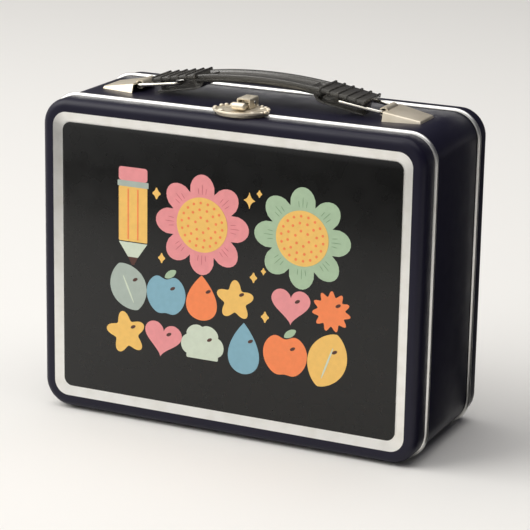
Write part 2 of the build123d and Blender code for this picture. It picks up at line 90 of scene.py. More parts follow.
# ---- finishes
class Shader:
    """A node material while it is being wired."""

    def __init__(self, name: str) -> None:
        """Start an empty material.

        Args:
            name: the material's name.
        """
        self.material = bpy.data.materials.new(name)
        self.material.use_nodes = True
        self.tree = self.material.node_tree
        self.tree.nodes.clear()
        self.place = self.add("ShaderNodeTexCoord").outputs["Object"]

    def add(self, kind: str, inputs: dict | None = None, **settings) -> bpy.types.Node:
        """Add a node and fill or link its sockets.

        Args:
            kind: the node's type name.
            inputs: a value or an output socket for each input, by name.
            settings: the node's own options.

        Returns:
            The new node.
        """
        node = self.tree.nodes.new(kind)
        for name, value in settings.items():
            setattr(node, name, value)
        for name, value in (inputs or {}).items():
            if isinstance(value, Socket):
                self.tree.links.new(value, node.inputs[name])
            else:
                node.inputs[name].default_value = value
        return node

    def grain(self, scale: float, detail: float = 3.0, stretch: tuple = EVEN) -> Socket:
        """Noise over the piece, stretched along an axis where one is below 1.

        Args:
            scale: how many swells there are in a metre.
            detail: how many finer layers lie over the first.
            stretch: scale of the pattern along X, Y and Z.

        Returns:
            The noise value, around a half.
        """
        where = self.place
        if stretch != EVEN:
            where = self.add("ShaderNodeMapping", {"Vector": where, "Scale": stretch}).outputs["Vector"]
        noise = self.add("ShaderNodeTexNoise", {"Vector": where, "Scale": scale, "Detail": detail})
        return noise.outputs["Fac"]

    def between(self, value: Socket, low: float, high: float) -> Socket:
        """Spread a noise value over the range from low to high."""
        spans = {"From Min": NOISE_LOW, "From Max": NOISE_HIGH, "To Min": low, "To Max": high}
        return self.add("ShaderNodeMapRange", {"Value": value, **spans}).outputs["Result"]

    def blend(self, value: Socket, first: Colour, second: Colour, edges: tuple) -> Socket:
        """Go from one colour to another as a value grows.

        Args:
            value: the noise that chooses.
            first: colour at the lower edge and below.
            second: colour at the upper edge and above.
            edges: the two edges.

        Returns:
            The colour.
        """
        ramp = self.add("ShaderNodeValToRGB", {"Fac": value})
        for stop, edge, colour in zip(ramp.color_ramp.elements, edges, (first, second)):
            stop.position, stop.color = edge, colour
        return ramp.outputs["Color"]

    def bump(self, layers: Sequence[tuple]) -> Socket:
        """Stack bumps, each over the one before.

        Args:
            layers: height socket, strength and depth in metres of each bump.

        Returns:
            The bent normal.
        """
        normal = None
        for height, strength, depth in layers:
            inputs = {"Height": height, "Strength": strength, "Distance": depth}
            if normal is not None:
                inputs["Normal"] = normal
            normal = self.add("ShaderNodeBump", inputs).outputs["Normal"]
        return normal

    def finish(self, inputs: dict) -> Material:
        """Close the material with its surface shader.

        Args:
            inputs: sockets of the surface shader.

        Returns:
            The finished material.
        """
        surface = self.add("ShaderNodeBsdfPrincipled", inputs)
        self.add("ShaderNodeOutputMaterial", {"Surface": surface.outputs["BSDF"]})
        return self.material


@dataclass(frozen=True)
class Enamel:
    """Baked paint on sheet metal: orange peel, faint clouding and rubbed patches."""

    name: str
    colour: Colour
    clouded: Colour
    smooth: float
    rough: float
    specular: float
    peel: float = 0.06

    def material(self) -> Material:
        """Build the paint's material."""
        shader = Shader(self.name)
        clouds = shader.grain(16.0, 2.0)
        peel = shader.grain(620.0, 2.0)
        rubbed = shader.grain(70.0, 4.0)
        sockets = {
            "Base Color": shader.blend(clouds, self.colour, self.clouded, (0.35, 0.75)),
            "Roughness": shader.between(rubbed, self.smooth, self.rough),
            "Specular IOR Level": self.specular,
            "Normal": shader.bump([(peel, self.peel, 0.1 * MM)]),
        }
        return shader.finish(sockets)


@dataclass(frozen=True)
class BareMetal:
    """Plated or rolled metal with drawn marks, faint tarnish and soft dents."""

    name: str
    colour: Colour
    tarnish: Colour
    smooth: float
    rough: float
    drawn: tuple = EVEN
    marks: float = 900.0
    dents: float = 0.08
    grit: float = 0.12

    def material(self) -> Material:
        """Build the metal's material."""
        shader = Shader(self.name)
        drawn = shader.grain(self.marks, 4.0, self.drawn)
        stain = shader.grain(90.0, 4.0)
        dent = shader.grain(160.0, 1.0)
        sockets = {
            "Base Color": shader.blend(stain, self.colour, self.tarnish, (0.45, 0.8)),
            "Metallic": 1.0,
            "Roughness": shader.between(drawn, self.smooth, self.rough),
            "Normal": shader.bump([(dent, self.dents, 0.3 * MM), (drawn, self.grit, 0.03 * MM)]),
        }
        return shader.finish(sockets)


@dataclass(frozen=True)
class SmokePlastic:
    """Soft see-through moulded plastic, smoky grey, with a fine moulded grain."""

    name: str
    colour: Colour
    deep: Colour
    clear: float

    def material(self) -> Material:
        """Build the plastic's material."""
        shader = Shader(self.name)
        flow = shader.grain(45.0, 2.0, (0.3, 1.0, 1.0))
        grain = shader.grain(1500.0, 3.0)
        sockets = {
            "Base Color": shader.blend(flow, self.colour, self.deep, (0.35, 0.7)),
            "Roughness": shader.between(grain, 0.16, 0.24),
            "IOR": 1.52,
            "Transmission Weight": self.clear,
            "Coat Weight": 0.3,
            "Coat Roughness": 0.08,
            "Normal": shader.bump([(grain, 0.012, 0.05 * MM), (flow, 0.05, 0.3 * MM)]),
        }
        return shader.finish(sockets)


@dataclass(frozen=True)
class Ink:
    """Satin printed ink with a faint mottle and paper-fine tooth."""

    name: str
    colour: Colour
    mottle: float = 0.06

    def material(self) -> Material:
        """Build the ink's material."""
        shader = Shader(self.name)
        mottle = shader.grain(350.0, 3.0)
        tooth = shader.grain(2600.0, 2.0)
        pale = tuple(min(1.0, c * (1 + self.mottle)) for c in self.colour[:3]) + (1.0,)
        sockets = {
            "Base Color": shader.blend(mottle, self.colour, pale, (0.35, 0.65)),
            "Roughness": shader.between(mottle, 0.34, 0.44),
            "Specular IOR Level": 0.4,
            "Normal": shader.bump([(tooth, 0.05, 0.02 * MM)]),
        }
        return shader.finish(sockets)


@dataclass(frozen=True)
class Paper:
    """Plain matt floor."""

    name: str
    colour: Colour

    def material(self) -> Material:
        """Build the floor's material."""
        shader = Shader(self.name)
        fibre = shader.grain(500.0, 3.0)
        sockets = {
            "Base Color": self.colour,
            "Roughness": 0.9,
            "Specular IOR Level": 0.1,
            "Normal": shader.bump([(fibre, 0.05, 0.05 * MM)]),
        }
        return shader.finish(sockets)


NAVY = Enamel("navy_enamel", paint(20, 18, 37), paint(24, 22, 41), 0.36, 0.44, 0.28)
BLACK = Enamel("black_lacquer", paint(6, 6, 6), paint(9, 9, 8), 0.24, 0.32, 0.45, 0.03)
TIN = BareMetal("bright_tin", paint(244, 243, 239), paint(232, 230, 223), 0.3, 0.4, (0.15, 0.15, 1.0))
LINING = BareMetal("tin_lining", paint(205, 203, 196), paint(188, 185, 175), 0.32, 0.46, (0.05, 1.0, 1.0))
NICKEL = BareMetal("nickel", paint(234, 224, 205), paint(216, 205, 183), 0.48, 0.58, dents=0.16, grit=0.05)
WIRE = BareMetal("wire_steel", paint(232, 228, 218), paint(214, 208, 192), 0.12, 0.24, (0.1, 1.0, 1.0))
SMOKE = SmokePlastic("smoke_plastic", paint(112, 109, 102), paint(92, 89, 83), 0.5)
FLOOR = Paper("floor_paper", paint(238, 236, 232))
# colour of the dark cards that only reflections see: painted shade in the reflections of the floor
REFLECTION_SHADE = Paper("painted_reflection_shade", paint(40, 40, 40))


# ---- shop tools
def verts_of(geom: Iterable) -> list[Vert]:
    """The vertices among the things that an operator made."""
    return [g for g in geom if isinstance(g, Vert)]


def placed(name: str, data: bpy.types.ID) -> Object:
    """Put data into the scene as a new object."""
    made = bpy.data.objects.new(name, data)
    bpy.context.scene.collection.objects.link(made)
    return made


def add_wall(piece: Object, thickness: float) -> bpy.types.Modifier:
    """Give a skin a wall of even thickness, inwards."""
    wall = piece.modifiers.new("wall", "SOLIDIFY")
    wall.thickness, wall.offset, wall.use_even_offset = thickness, -1.0, True
    return wall


def applied(piece: Object) -> Mesh:
    """Take a piece out of the scene for its mesh with the modifiers applied.

    Args:
        piece: the piece, which is gone afterwards together with its first mesh.

    Returns:
        The new mesh, under the first one's name.
    """
    first, name = piece.data, piece.data.name
    mesh = bpy.data.meshes.new_from_object(piece.evaluated_get(bpy.context.evaluated_depsgraph_get()))
    bpy.data.objects.remove(piece)
    bpy.data.meshes.remove(first)
    mesh.name = name
    return mesh


class Part:
    """A bmesh on its way to becoming a piece."""

    def __init__(self) -> None:
        """Start with nothing."""
        self.bm = bmesh.new()

    def new_verts(self, before: set) -> list[Vert]:
        """The vertices that weren't there before."""
        return [v for v in self.bm.verts if v not in before]

    def block(self, low: Point, high: Point, round_off: float = 0.0, steps: int = 2) -> list:
        """Add a box between two corners.

        Args:
            low: lowest corner.
            high: highest corner.
            round_off: width of the rounding along its edges.
            steps: facets across the rounding.

        Returns:
            The box's vertices.
        """
        before = set(self.bm.verts)
        cube = bmesh.ops.create_cube(self.bm, size=1.0)["verts"]
        size = [h - l for l, h in zip(low, high)]
        bmesh.ops.scale(self.bm, vec=size, verts=cube)
        middle = [(h + l) / 2 for l, h in zip(low, high)]
        bmesh.ops.translate(self.bm, vec=middle, verts=cube)
        if round_off:
            edges = list({e for v in cube for e in v.link_edges})
            self.round_edges(edges, round_off, steps)
        return self.new_verts(before)

    def round_edges(self, edges: list, width: float, steps: int = 2, affect: str = "EDGES") -> None:
        """Round the given edges over a width, in a number of steps."""
        shape = {"segments": steps, "profile": 0.5, "affect": affect, "material": -1, "clamp_overlap": True}
        bmesh.ops.bevel(self.bm, geom=edges, offset=width, **shape)

    def round_corners(self, verts: list, width: float, steps: int = 4) -> None:
        """Round the given corners of a flat outline over a width, in a number of steps."""
        self.round_edges(verts, width, steps, "VERTICES")

    def move(self, verts: list, matrix: Matrix) -> None:
        """Move vertices by a matrix."""
        bmesh.ops.transform(self.bm, matrix=matrix, verts=verts)

    def outline(self, points: Iterable[Point]) -> Face:
        """Add one flat face around a few corner points."""
        return self.bm.faces.new([self.bm.verts.new(p) for p in points])

    def thicken(self, face: Face, way: Point) -> list:
        """Pull a flat face along a way into a closed solid.

        Args:
            face: the flat face, which stays as the solid's back.
            way: how far and where the front goes.

        Returns:
            The vertices of the front.
        """
        made = bmesh.ops.extrude_face_region(self.bm, geom=[face], use_keep_orig=True)["geom"]
        front = verts_of(made)
        bmesh.ops.translate(self.bm, vec=way, verts=front)
        return front

    def split(self, place: Point, normal: Point) -> None:
        """Cut everything on the normal's side of a plane away and close the cut."""
        geom = list(self.bm.verts) + list(self.bm.edges) + list(self.bm.faces)
        bmesh.ops.bisect_plane(self.bm, geom=geom, plane_co=place, plane_no=normal, clear_outer=True)
        self.fill_holes()

    def fill_holes(self) -> None:
        """Close every open loop with a face."""
        rims = [e for e in self.bm.edges if e.is_boundary]
        bmesh.ops.holes_fill(self.bm, edges=rims, sides=0)

    def window(self, low: Point, high: Point) -> None:
        """Cut a box-shaped window out of thin walls.

        Args:
            low: lowest corner of the window.
            high: highest corner of the window.
        """
        for axis in range(3):
            normal = Vector([float(k == axis) for k in range(3)])
            for value in (low[axis], high[axis]):
                near = [f for f in self.bm.faces if self.meets(f, low, high)]
                geom = set(near)
                for face in near:
                    geom.update(face.edges)
                    geom.update(face.verts)
                bmesh.ops.bisect_plane(self.bm, geom=list(geom), plane_co=normal * value, plane_no=normal)
        inside = [f for f in self.bm.faces if self.holds(low, high, f.calc_center_median())]
        bmesh.ops.delete(self.bm, geom=inside, context="FACES")

    @staticmethod
    def meets(face: Face, low: Point, high: Point) -> bool:
        """Whether a face's own box meets the box from low to high."""
        spans = [[v.co[k] for v in face.verts] for k in range(3)]
        return all(min(s) < h and max(s) > l for s, l, h in zip(spans, low, high))

    @staticmethod
    def holds(low: Point, high: Point, point: Vector) -> bool:
        """Whether a point is inside the box from low to high."""
        return all(l < p < h for l, p, h in zip(low, point, high))

    def mesh(self, name: str, recalculate: bool = True) -> Mesh:
        """Turn the bmesh into a mesh, with doubles merged and faces outwards.

        Args:
            name: the mesh's name.
            recalculate: whether face directions are worked out anew.

        Returns:
            The mesh.
        """
        bmesh.ops.remove_doubles(self.bm, verts=list(self.bm.verts), dist=MERGE)
        if recalculate:
            bmesh.ops.recalc_face_normals(self.bm, faces=list(self.bm.faces))
        mesh = bpy.data.meshes.new(name)
        self.bm.to_mesh(mesh)
        self.bm.free()
        return mesh


@dataclass
class Fitting:
    """How a finished piece belongs to the object."""

    body: str
    slot: str
    finishes: Sequence
    replaces: Sequence[str] = ()
    crease: float = 35.0


MADE: dict = {}


def dressed(finish) -> Material:
    """The material of a finish, made once and shared."""
    if finish.name not in MADE:
        MADE[finish.name] = finish.material()
    return MADE[finish.name]


def install(mesh: Mesh, fitting: Fitting) -> Object:
    """Make a mesh a named piece that rides on its body.

    Args:
        mesh: the finished mesh, whose name the piece takes.
        fitting: its body, slot, finishes and the nodes it stands for.

    Returns:
        The piece.
    """
    for finish in fitting.finishes:
        mesh.materials.append(dressed(finish))
    mesh.shade_smooth()
    mesh.set_sharp_from_angle(angle=radians(fitting.crease))
    piece = placed(mesh.name, mesh)
    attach(piece, fitting.body)
    if fitting.replaces:
        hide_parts(*fitting.replaces)
    LOG.info("%s: %d faces on %s", mesh.name, len(mesh.polygons), fitting.body)
    return piece


def united(first: Mesh, second: Mesh) -> Mesh:
    """Weld overlapping closed shapes into one skin.

    Args:
        first: a closed mesh.
        second: a mesh of closed shapes, which may overlap each other.

    Returns:
        The welded mesh, under the first one's name.
    """
    base, tool = placed("weld_base", first), placed("weld_tool", second)
    weld = base.modifiers.new("weld", "BOOLEAN")
    weld.operation, weld.solver, weld.object, weld.use_self = "UNION", "EXACT", tool, True
    result = applied(base)
    bpy.data.objects.remove(tool)
    bpy.data.meshes.remove(second)
    return result


def refined(node: str, edge: float, fitting: Fitting, steps: int = 2) -> None:
    """Finish a node's own shape, with its sharp edges rounded.

    Args:
        node: the frame's node, whose name with "_piece" behind it the piece takes.
        edge: width of the rounding in millimetres.
        fitting: how the piece belongs to the object.
        steps: facets across the rounding.
    """
    part = Part()
    part.bm.from_mesh(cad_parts[node].data)
    bmesh.ops.remove_doubles(part.bm, verts=list(part.bm.verts), dist=10 * MERGE)
    verts, edges = list(part.bm.verts), list(part.bm.edges)
    bmesh.ops.dissolve_limit(part.bm, angle_limit=radians(FLAT), verts=verts, edges=edges)
    sharp = [e for e in part.bm.edges if len(e.link_faces) == 2 and e.calc_face_angle(0.0) > radians(SHARP)]
    part.round_edges(sharp, edge * MM, steps)
    fitting.replaces = (node,)
    install(part.mesh(f"{node}_piece", recalculate=False), fitting)


# ---- case
@dataclass(frozen=True)
class Ring:
    """One rounded rectangle of a stamped shell."""

    inset: float
    y: float
    radius: float


@dataclass
class Shells:
    """The stamped tin: two pans, the band between them, the beads over the seams and the neck strip."""

    corner: float = 14.5 * MM
    roll: float = 4.0 * MM
    roll_steps: int = 6
    corner_steps: int = 14
    rim: float = 6.9 * MM
    slope: float = 5.0 * MM
    recess: float = 1.2 * MM
    slope_corners: tuple[float, float] = (8.0 * MM, 5.0 * MM)
    slope_edge: float = 0.35 * MM
    tin: float = 0.4 * MM
    bead_steps: int = 8
    bead: float = 1.4 * MM
    hinge_room: float = 1.0 * MM
    hinge_reach: float = 0.7 * MM
    neck_inset: float = 0.9 * MM
    neck_joggle: float = 0.7 * MM
    neck_turn: tuple[float, float] = (0.2 * MM, 0.5 * MM)
    latch_room: tuple[float, float, float] = (2.0 * MM, 2.3 * MM, 4.0 * MM)
    mouth_turn: tuple[float, float] = (0.15 * MM, 0.5 * MM)
    bead_foot: tuple[float, float] = (0.1 * MM, 0.9)
    # inset and distance from the front and from the rear edge, in millimetres
    band_front: tuple = ((0.3, 0.0), (0.1, 0.6), (0.0, 1.6))
    band_rear: tuple = ((0.0, 5.2), (0.25, 4.4), (0.25, 0.2))
    low: Vector = field(default_factory=lambda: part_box("body_band")[0])
    high: Vector = field(default_factory=lambda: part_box("body_band")[1])

    def loop(self, part: Part, ring: Ring) -> list[Edge]:
        """Add one rounded rectangle as a closed loop of edges.

        Args:
            part: the part that gets it.
            ring: how far inside the case's outline it lies, its depth and its corner radius.

        Returns:
            The loop's edges.
        """
        before_verts, before_edges = set(part.bm.verts), set(part.bm.edges)
        corners = bmesh.ops.create_grid(part.bm, x_segments=1, y_segments=1, size=0.5)["verts"]
        width = self.high.x - self.low.x - 2 * ring.inset
        height = self.high.z - self.low.z - 2 * ring.inset
        place = Matrix.Translation((0, ring.y, (self.low.z + self.high.z) / 2))
        part.move(corners, place @ UPRIGHT @ Matrix.Diagonal((width, height, 1.0, 1.0)))
        part.round_corners(corners, ring.radius, self.corner_steps)
        made = part.new_verts(before_verts)
        faces = list({f for v in made for f in v.link_faces})
        bmesh.ops.delete(part.bm, geom=faces, context="FACES_ONLY")
        return [e for e in part.bm.edges if e not in before_edges]

    def skin(self, rings: Sequence[Ring], bare: Sequence[int] = (), shut: bool = False) -> Part:
        """Stretch a skin over rings, in order.

        Args:
            rings: the rings.
            bare: the spans between two rings that have the second finish.
            shut: whether the last ring joins the first.

        Returns:
            The open or ring-shaped skin.
        """
        part = Part()
        loops = [self.loop(part, ring) for ring in rings]
        pairs = list(zip(loops, loops[1:] + loops[:1]))
        for span, (one, other) in enumerate(pairs if shut else pairs[:-1]):
            for face in bmesh.ops.bridge_loops(part.bm, edges=one + other)["faces"]:
                face.material_index = int(span in bare)
        return part

    def pan_rings(self, edge: float, face: float) -> list[Ring]:
        """Rings of a pan from its open edge to the edge of its recessed panel.

        Args:
            edge: depth of the open edge.
            face: depth of the flat rim.

        Returns:
            The rings.
        """
        way = 1 if edge > face else -1
        turned, deep = self.mouth_turn
        rings = [Ring(turned, edge, self.corner), Ring(0, edge - way * deep, self.corner)]
        for step in range(self.roll_steps + 1):
            angle = step / self.roll_steps * pi / 2
            inset = self.roll * (1 - cos(angle))
            rings.append(Ring(inset, face + way * self.roll * (1 - sin(angle)), self.corner - inset))
        bow = self.slope_edge * self.recess / self.slope / 2
        outer, inner = self.slope_corners
        for share in (0.0, 0.5, 1.0):
            rings.append(Ring(self.rim - self.slope_edge * (1 - share), face + way * bow * share**2, outer))
        for share in (1.0, 0.5, 0.0):
            inset = self.rim + self.slope - self.slope_edge * share
            rings.append(Ring(inset, face + way * (self.recess - bow * share**2), inner))
        return rings

    def pan(self, name: str, edge: float, face: float, fitting: Fitting, hinged: bool) -> None:
        """Build one pan: rolled edge, flat rim, bare slope and recessed panel.

        Args:
            name: the piece's name.
            edge: depth of the open edge.
            face: depth of the flat rim.
            fitting: how it belongs to the object.
            hinged: whether its open edge is notched for the hinges.
        """
        rings = self.pan_rings(edge, face)
        first_bare = self.roll_steps + 4
        part = self.skin(rings, range(first_bare, first_bare + 4))
        rims = [e for e in part.bm.edges if e.is_boundary and abs(e.verts[0].co.y - rings[-1].y) < 1e-6]
        bmesh.ops.holes_fill(part.bm, edges=rims, sides=0)
        if hinged:
            self.notch(part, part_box("lid_rim_bead")[0].y - self.hinge_reach, edge + MM, MM)
        self.walled(part, name, fitting)

    def notch(self, part: Part, front: float, back: float, rise: float) -> None:
        """Cut room for both hinges out of the bottom of a skin.

        Args:
            part: the skin.
            front: depth where the cut starts.
            back: depth where it ends.
            rise: how far it goes up into the case.
        """
        for side in ("left", "right"):
            low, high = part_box(f"hinge_leaf_body_{side}")
            corner = (high.x + self.hinge_room, back, self.low.z + rise)
            part.window((low.x - self.hinge_room, front, -MM), corner)

    def walled(self, part: Part, name: str, fitting: Fitting) -> None:
        """Give a skin the thickness of tin, inwards, with a bare inside.

        Args:
            part: the skin.
            name: the piece's name.
            fitting: how it belongs to the object.
        """
        outside = len(fitting.finishes)
        fitting.finishes = [*fitting.finishes, *[LINING] * outside]
        wall = add_wall(install(part.mesh(name), fitting), self.tin)
        wall.material_offset = wall.material_offset_rim = outside

    def band(self) -> None:
        """Build the band between the seams, its edges turned in a little where the beads sit."""
        rings = [Ring(inset * MM, self.low.y + y * MM, self.corner) for inset, y in self.band_front]
        rings += [Ring(inset * MM, self.high.y - y * MM, self.corner) for inset, y in self.band_rear]
        self.walled(self.skin(rings), "band", Fitting("case", "navy_enamel", [NAVY], ["body_band"]))

    def bead_round(self, name: str, node: str, body: str, notched: bool) -> None:
        """Build one bright bead around a seam.

        Args:
            name: the piece's name.
            node: the frame's bead.
            body: the body it rides on.
            notched: whether it is cut away at the hinges.
        """
        low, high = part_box(node)
        middle = (low.y + high.y) / 2
        rings = []
        for step in range(self.bead_steps + 1):
            angle = pi * step / self.bead_steps
            height = self.bead * sin(angle)
            rings.append(Ring(-height, middle - self.bead * cos(angle), self.corner + height))
        inset, share = self.bead_foot
        rings += [Ring(inset, middle + self.bead * side, self.corner) for side in (share, -share)]
        part = self.skin(rings, shut=True)
        if notched:
            self.notch(part, low.y - MM, high.y + MM, 3 * MM)
            part.fill_holes()
        install(part.mesh(name), Fitting(body, "bright_tin", [TIN], [node]))

    def neck(self) -> None:
        """Build the neck strip inside the mouth: three runs, cut away by the latch."""
        low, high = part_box("neck_strip")
        root, step = self.low.y, self.neck_joggle
        slim, turned, deep = self.neck_inset, *self.neck_turn
        rings = [Ring(slim + turned, low.y, self.corner - slim)]
        for inset, y in ((slim, low.y + deep), (slim, root), (self.tin, root + step), (self.tin, high.y)):
            rings.append(Ring(inset, y, self.corner - inset))
        part = self.skin(rings)
        wide = self.high.x
        part.window((-wide, low.y - MM, 0), (wide, high.y + MM, low.z))
        left, right = (corner.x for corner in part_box("latch_rivets"))
        beside, behind, below = self.latch_room
        room = (left - beside, low.y + behind, self.high.z - below)
        part.window(room, (right + beside, high.y + MM, self.high.z))
        fitting = Fitting("case", "bright_tin", [LINING], ["neck_strip"])
        add_wall(install(part.mesh("neck_strip_piece"), fitting), self.tin)

    def build(self) -> None:
        """Build every shell."""
        lid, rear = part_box("lid_pan"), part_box("rear_pan")
        for name, body, node, edge, face, hinged in (
            ("lid_shell", "lid", "lid_pan", lid[1].y, lid[0].y, True),
            ("rear_shell", "case", "rear_pan", rear[0].y, rear[1].y, False),
        ):
            self.pan(name, edge, face, Fitting(body, "navy_enamel", [NAVY, TIN], [node]), hinged)
        self.band()
        self.bead_round("lid_bead", "lid_rim_bead", "lid", True)
        self.bead_round("rear_bead", "rear_seam_bead", "case", False)
        self.neck()


# ---- hinges
@dataclass
class Hinges:
    """Two hinges under the case, with their pins and rivets."""

    edge: float = 0.12

    def build(self) -> None:
        """Round and dress every piece of the hinges."""
        halves = (("body", "case"), ("lid", "lid"))
        for side in ("left", "right"):
            for half, body in halves:
                refined(f"hinge_leaf_{half}_{side}", self.edge, Fitting(body, "nickel", [NICKEL]))
            refined(f"hinge_pin_{side}", self.edge, Fitting("case", "nickel", [WIRE]))
        for half, body in halves:
            refined(f"hinge_rivets_{half}", self.edge, Fitting(body, "nickel", [NICKEL]))


# ---- handle
@dataclass
class Handle:
    """The lifting handle: two pressed brackets, two wire bails and the moulded grip."""

    pivot_rise: float = 3.8 * MM
    pivot_x: float = 70.5 * MM
    slant: float = 8.0
    end_slant: float = 10.0
    tip: Vector = field(default_factory=lambda: Vector((46.2 * MM, 0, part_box("body_band")[1].z + 7.2 * MM)))
    top: float = field(default_factory=lambda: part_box("body_band")[1].z)
    sheet: float = 0.8 * MM

    # brackets
    foot: tuple = ((72.0, 13.5), (92.0, 9.5))
    plateau: float = 4.8 * MM
    fall: float = 10.0
    draft: float = 0.345
    curl: float = 2.5 * MM
    curl_half: float = 7.0 * MM
    curl_angle: float = 305.0
    curl_lap: float = 2.4 * MM
    fold: float = 0.7 * MM

    # clinched tabs, in millimetres
    tabs: tuple = (76.0, 86.0)
    tab_depth: float = 1.3
    tab_sheet: float = 0.8
    tab_half: float = 2.5
    tab_inset: float = 1.1
    tab_lap: float = 3.2
    tab_step: float = 0.1  # how much shorter the clinched end is
    tab_gap: float = 0.02
    tab_soft: float = 0.2

    # bails
    wire: float = 1.0 * MM
    leg_y: float = 9.6 * MM
    tip_y: float = 4.6 * MM
    bend: float = 2.0 * MM

    # grip
    arch_half: float = 35.0 * MM
    width: float = 18.0 * MM
    thick: float = 4.4 * MM
    ridge: float = 2.6 * MM
    dish: float = 1.5 * MM
    dish_wall: float = 1.2 * MM
    under_soft: float = 1.5 * MM
    ridge_soft: float = 0.55 * MM
    cap: tuple = (-11.5, 15.0)
    cap_half: float = 10.5
    cap_w: tuple = (1.9, 4.1)
    soft: float = 0.5
    ribs: int = 6
    rib: tuple = (0.1, 1.3, 0.3)  # a rib's start past the cap's, its length and how far it stands out
    rib_w: tuple = (2.2, 4.75)
    rib_soft: float = 0.4
    # the web around the wire's slot, and last the lower lip: span along u, half-width, span along w, rounding
    web: tuple = (
        ((-10.6, 12.5), 6.0, (-3.3, -1.3), 0.2),
        ((-10.6, 12.4), 5.9, (1.85, 2.9), 0.2),
        ((-10.5, -1.5), 6.05, (-3.2, 2.8), 0.2),
        ((9.5, 12.55), 6.05, (-3.2, 2.8), 0.2),
        ((-9.0, 14.2), 8.1, (-4.25, -3.2), 0.4),
    )
    # the sweep down to the middle: its outline along u and w, half-width, rounded stretch and rounding
    sweep: tuple = (
        (-17.5, 0.7), (-14.9, -0.3), (-12.3, -3.5), (-8.0, -4.25),
        (-8.0, -3.2), (-11.5, -2.5), (-13.9, 0.9), (-17.5, 2.7),
    )
    sweep_half: float = 8.4 * MM
    sweep_bends: tuple = (-15.0 * MM, -11.0 * MM)
    sweep_soft: float = 1.2 * MM

    def bracket(self, side: int, name: str) -> None:
        """Build one bracket: a pressed cover, a curl around the wire and four clinched tabs.

        Args:
            side: 1 on the right, -1 on the left.
            name: the frame's node.
        """
        part = Part()
        (inner, wide), (outer, narrow) = self.foot
        corners = ((inner, -wide), (outer, -narrow), (outer, narrow), (inner, wide))
        foot = part.outline([(x * MM, y * MM, self.top) for x, y in corners])
        crown = part.thicken(foot, (0, 0, self.plateau))
        for vert in crown:
            vert.co.z -= tan(radians(self.fall)) * (vert.co.x - inner * MM)
            lean = (vert.co.z - self.top) * self.draft
            vert.co.y -= lean if vert.co.y > 0 else -lean
            if vert.co.x > (inner + outer) / 2 * MM:
                vert.co.x -= lean
        open_faces = [f for f in part.bm.faces if f.normal.length == 0 or self.is_open(f, inner * MM)]
        bmesh.ops.delete(part.bm, geom=open_faces, context="FACES")
        part.round_edges([e for e in part.bm.edges if not e.is_boundary], self.fold, 3)
        self.add_curl(part)
        sheet = placed("sheet", part.mesh(f"{name}_sheet"))
        add_wall(sheet, self.sheet)
        solid = applied(sheet)

        whole = Part()
        whole.bm.from_mesh(solid)
        bpy.data.meshes.remove(solid)
        self.add_tabs(whole)
        if side < 0:
            whole.move(list(whole.bm.verts), MIRROR)
        install(whole.mesh(f"{name}_piece"), Fitting("case", "nickel", [NICKEL], [name], 30.0))

    def is_open(self, face: Face, inner: float) -> bool:
        """Whether a face of the bracket's block is its foot or its open inner end."""
        middle = face.calc_center_median()
        return middle.z < self.top + 0.01 * MM or middle.x < inner + 0.01 * MM

    def add_curl(self, part: Part) -> None:
        """Add the sheet curled around the wire, from the plateau over the top and round.

        Args:
            part: the bracket's open skin.
        """
        centre = Vector((self.pivot_x, 0, self.top + self.pivot_rise))
        rise = self.plateau - self.pivot_rise - 0.2 * MM
        start = Vector((centre.x + sqrt(self.curl**2 - rise**2), 0, centre.z + rise))
        run = Vector((1, 0, -tan(radians(self.fall + 1.5)))) * self.curl_lap
        plate = [start + run + Vector((0, y, 0)) for y in (-self.curl_half, self.curl_half)]
        edge = part.bm.edges.new([part.bm.verts.new(p) for p in plate])
        made = bmesh.ops.extrude_edge_only(part.bm, edges=[edge])["geom"]
        front = verts_of(made)
        bmesh.ops.translate(part.bm, vec=-run, verts=front)
        rim = [g for g in made if isinstance(g, Edge) and set(g.verts) == set(front)]
        turn = {"axis": (0, 1, 0), "angle": -radians(self.curl_angle), "steps": 22}
        bmesh.ops.spin(part.bm, geom=rim + front, cent=centre, **turn)

    def add_tabs(self, part: Part) -> None:
        """Add the four tabs that go through the case top and are clinched under it.

        Args:
            part: the bracket.
        """
        (inner, wide), (outer, narrow) = self.foot
        low, thin = self.top / MM - self.tab_depth, self.tab_sheet
        slim = self.tab_half - self.tab_step
        for x in self.tabs:
            half = wide + (x - inner) / (outer - inner) * (narrow - wide) - self.tab_inset
            for side in (-1, 1):
                tab = sorted((side * (half - thin / 2), side * (half + thin / 2)))
                clinch = sorted((side * (half + thin / 2), side * (half - self.tab_lap)))
                blocks = (
                    (tab, self.tab_half, 0.0, self.tab_depth + thin, 0.0),
                    (clinch, slim, -self.tab_gap, thin - self.tab_gap, self.tab_soft),
                )
                for (near, far), reach, foot, head, soft in blocks:
                    corner = [v * MM for v in (x - reach, near, low + foot)]
                    part.block(corner, [v * MM for v in (x + reach, far, low + head)], soft * MM)

